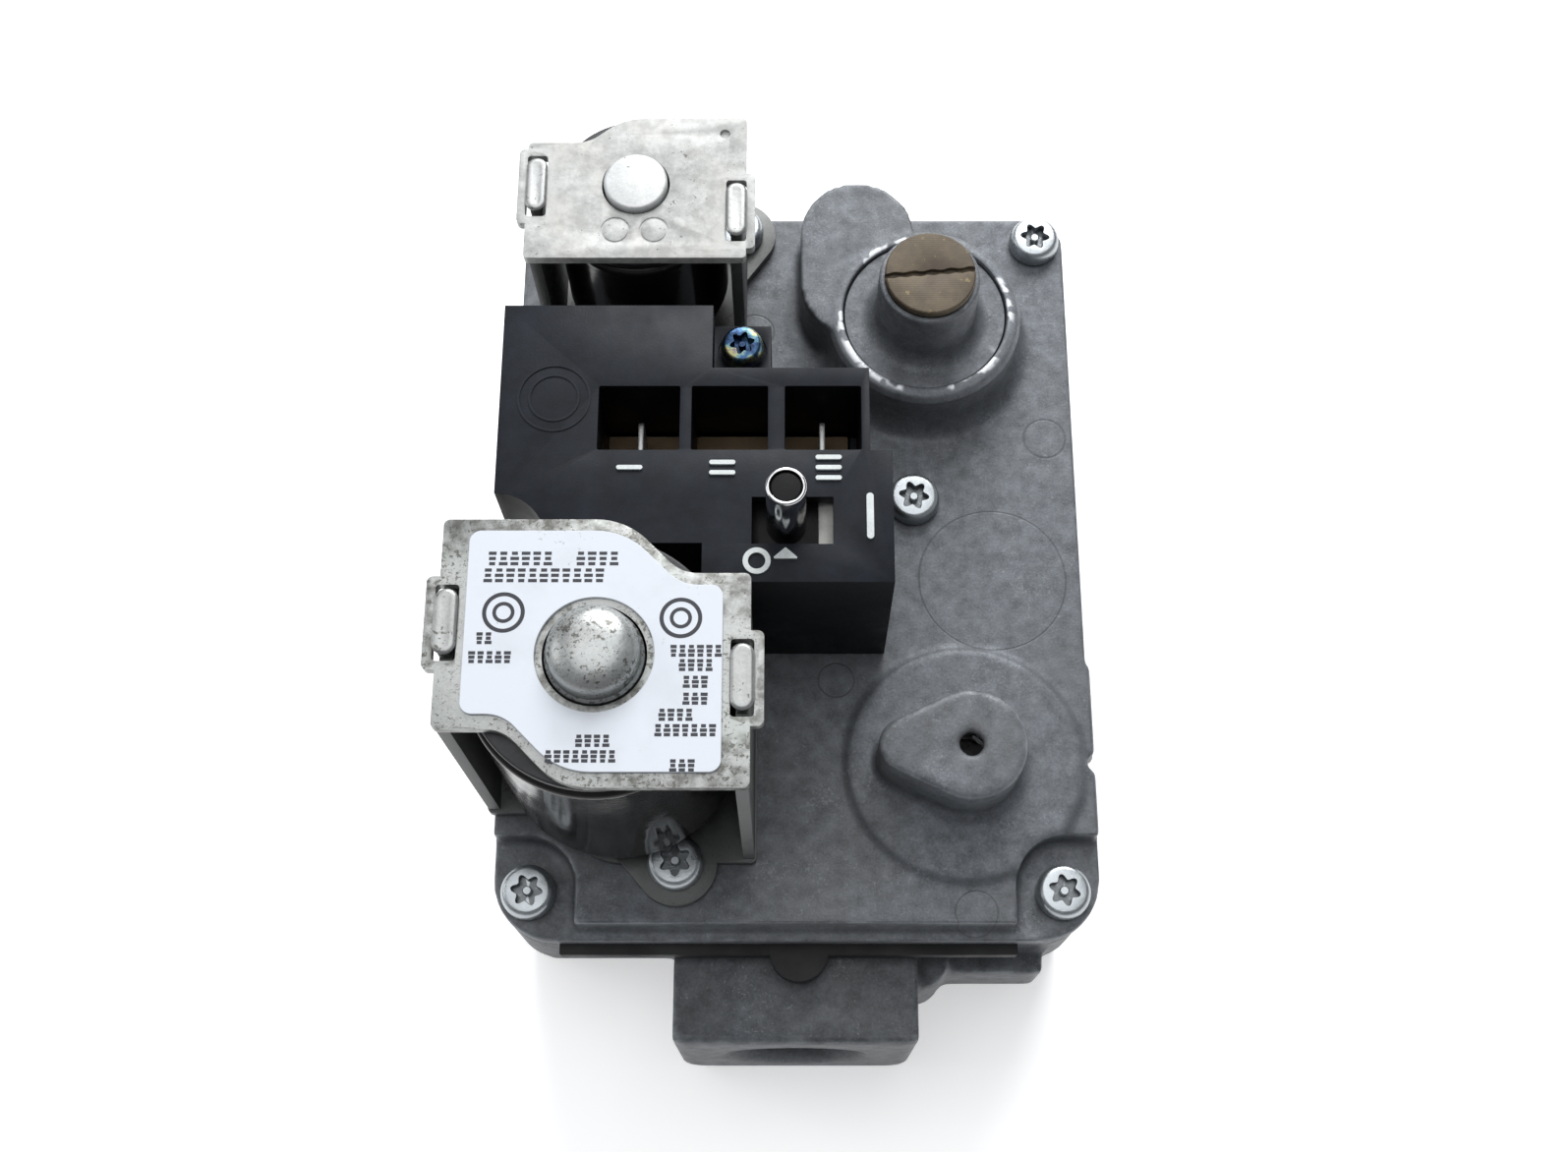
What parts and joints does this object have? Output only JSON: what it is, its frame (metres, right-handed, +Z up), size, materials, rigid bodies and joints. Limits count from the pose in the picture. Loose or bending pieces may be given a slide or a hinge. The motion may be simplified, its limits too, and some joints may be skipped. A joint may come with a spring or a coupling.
{
  "type": "gas valve",
  "caption": "Low-voltage gas control valve: die-cast body and cover, two solenoids, terminal block with a slide switch, and a capped pressure regulator.",
  "frame": {"origin": "centre of the flat bottom face of the body, under the middle of the cover", "axes": "+Z up through the solenoids, -Y out of the outlet port, +Y out of the inlet port, +X towards the regulator side"},
  "size_m": [0.0889, 0.134, 0.0966],
  "materials": {
    "cast_aluminium": "as-cast, matte and mottled",
    "zinc_steel": "zinc plated",
    "black_plastic": "moulded",
    "coil_black": "encapsulated, glossy",
    "white_label": "printed label",
    "white_nylon": "moulded",
    "brass": "dull, handled",
    "chrome": "polished",
    "rubber": "moulded",
    "steel": "turned",
    "board": "tan laminate"
  },
  "bodies": {
    "valve_body": {"lower_body": "cast_aluminium", "top_cover": "cast_aluminium", "regulator_bonnet": "cast_aluminium", "body_gasket": "rubber", "front_label": "white_label", "front_coil": "coil_black", "rear_coil": "coil_black", "front_bobbin": "black_plastic", "rear_bobbin": "black_plastic", "terminal_block": "black_plastic", "terminal_board": "board", "terminal_tab_left": "zinc_steel", "terminal_tab_right": "zinc_steel", "switch_post_left": "brass", "switch_post_right": "brass", "block_screw": "zinc_steel", "regulator_spring": "steel", "regulator_diaphragm": "rubber", "main_diaphragm": "rubber", "main_valve_spring": "steel", "inlet_screen": "steel", "inlet_tap_plug": "zinc_steel", "outlet_tap_plug": "zinc_steel", "cover_screw_front_left": "zinc_steel", "cover_screw_front_right": "zinc_steel", "cover_screw_rear_left": "zinc_steel", "cover_screw_rear_right": "zinc_steel", "cover_screw_middle": "zinc_steel", "front_solenoid_frame": "zinc_steel", "front_solenoid_plate": "zinc_steel", "front_solenoid_screw": "zinc_steel", "front_core_tube": "zinc_steel", "front_core_stop": "steel", "front_plunger_spring": "steel", "rear_solenoid_frame": "zinc_steel", "rear_solenoid_plate": "zinc_steel", "rear_solenoid_screw": "zinc_steel", "rear_core_tube": "zinc_steel", "rear_core_stop": "steel", "rear_plunger_spring": "steel"},
    "front_armature": {"front_plunger": "steel", "front_valve_disc": "rubber"},
    "rear_armature": {"rear_plunger": "steel", "rear_valve_disc": "rubber"},
    "switch_carriage": {"switch_lever": "chrome", "switch_lever_core": "black_plastic", "switch_slider": "white_nylon", "switch_contact": "brass"},
    "cap_seal": {"regulator_cap_seal": "rubber"},
    "cap": {"regulator_cap": "brass"},
    "spring_seat": {"regulator_spring_seat": "steel"},
    "adjuster": {"regulator_adjuster": "white_nylon"},
    "regulator_valve": {"regulator_stem": "steel", "regulator_valve_disc": "rubber"},
    "main_valve": {"main_valve_stem": "steel", "main_valve_disc": "rubber"}
  },
  "joints": [
    {"name": "switch_slide", "type": "slide", "parent": "valve_body", "child": "switch_carriage", "axis": [1, 0, 0], "range_m": [0, 0.0033]},
    {"name": "front_plunger_lift", "type": "slide", "parent": "valve_body", "child": "front_armature", "axis": [0, 0, 1], "range_m": [0, 0.002], "stiffness_N_per_m": 250, "springref_m": -0.004, "deforming": ["front_plunger_spring"]},
    {"name": "rear_plunger_lift", "type": "slide", "parent": "valve_body", "child": "rear_armature", "axis": [0, 0, 1], "range_m": [0, 0.002], "stiffness_N_per_m": 250, "springref_m": -0.004, "deforming": ["rear_plunger_spring"]},
    {"name": "regulator_cap_rise", "type": "slide", "parent": "valve_body", "child": "cap_seal", "axis": [0, 0, 1], "range_m": [0, 0.003]},
    {"name": "regulator_cap_turn", "type": "hinge", "parent": "cap_seal", "child": "cap", "pos_m": [0.01965, 0.0349, 0.06], "axis": [0, 0, 1], "range_deg": [0, 1081]},
    {"name": "regulator_adjuster_travel", "type": "slide", "parent": "valve_body", "child": "spring_seat", "axis": [0, 0, 1], "range_m": [-0.0015, 0.0015], "deforming": ["regulator_spring"]},
    {"name": "regulator_adjuster_turn", "type": "hinge", "parent": "spring_seat", "child": "adjuster", "pos_m": [0.01965, 0.0349, 0.056], "axis": [0, 0, 1], "range_deg": [-541, 541]},
    {"name": "regulator_valve_lift", "type": "slide", "parent": "valve_body", "child": "regulator_valve", "axis": [0, 0, 1], "range_m": [0, 0.0005], "stiffness_N_per_m": 400, "springref_m": -0.002, "deforming": ["regulator_diaphragm"]},
    {"name": "main_valve_lift", "type": "slide", "parent": "valve_body", "child": "main_valve", "axis": [0, 0, 1], "range_m": [0, 0.002], "stiffness_N_per_m": 150, "springref_m": -0.006, "deforming": ["main_valve_spring", "main_diaphragm"]}
  ],
  "couplings": [
    {"joint": "regulator_cap_turn", "follows": "regulator_cap_rise", "rad_per_m": 6283.2},
    {"joint": "regulator_adjuster_turn", "follows": "regulator_adjuster_travel", "rad_per_m": 6283.2}
  ]
}
